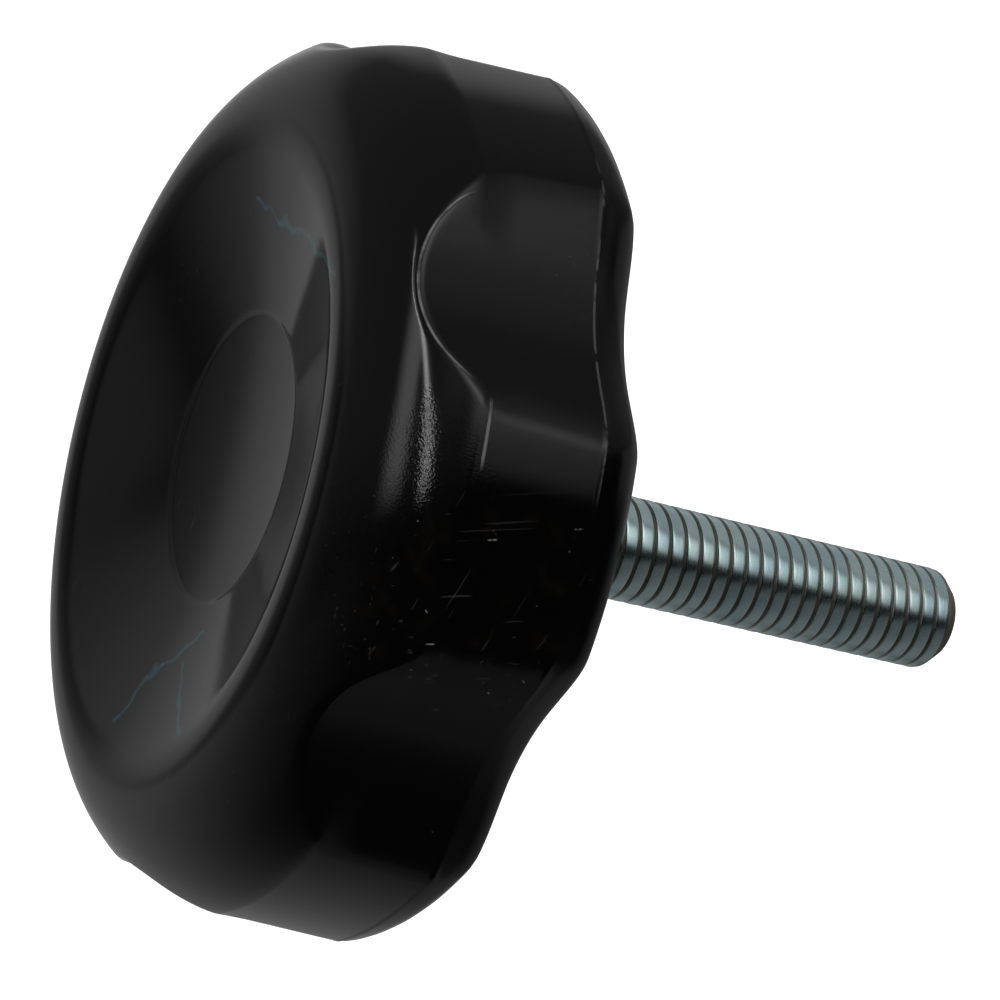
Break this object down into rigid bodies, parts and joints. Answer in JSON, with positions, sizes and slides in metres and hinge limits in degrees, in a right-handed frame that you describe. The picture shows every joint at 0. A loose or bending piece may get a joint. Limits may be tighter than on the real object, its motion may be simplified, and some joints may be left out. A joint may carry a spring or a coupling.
{
  "type": "lobed clamping knob",
  "caption": "Round lobed clamping knob with a dished face and scooped finger flutes, moulded on a steel threaded stud that screws into a tapped hole and clamps by hand.",
  "frame": {"origin": "on the knob's axis at the hub's face, where the stud leaves the hub", "axes": "+Z along the axis out of the dished face, -Z along the stud to its tip, +X through the middle of one flute"},
  "size_m": [0.048, 0.0494, 0.0482],
  "materials": {
    "black_thermoset": "glossy moulded thermoset, lightly scratched and dusty",
    "zinc_steel": "bright zinc plate with a faint blue tint"
  },
  "bodies": {
    "root": {"knob_head": "black_thermoset", "threaded_stud": "zinc_steel"}
  },
  "joints": []
}
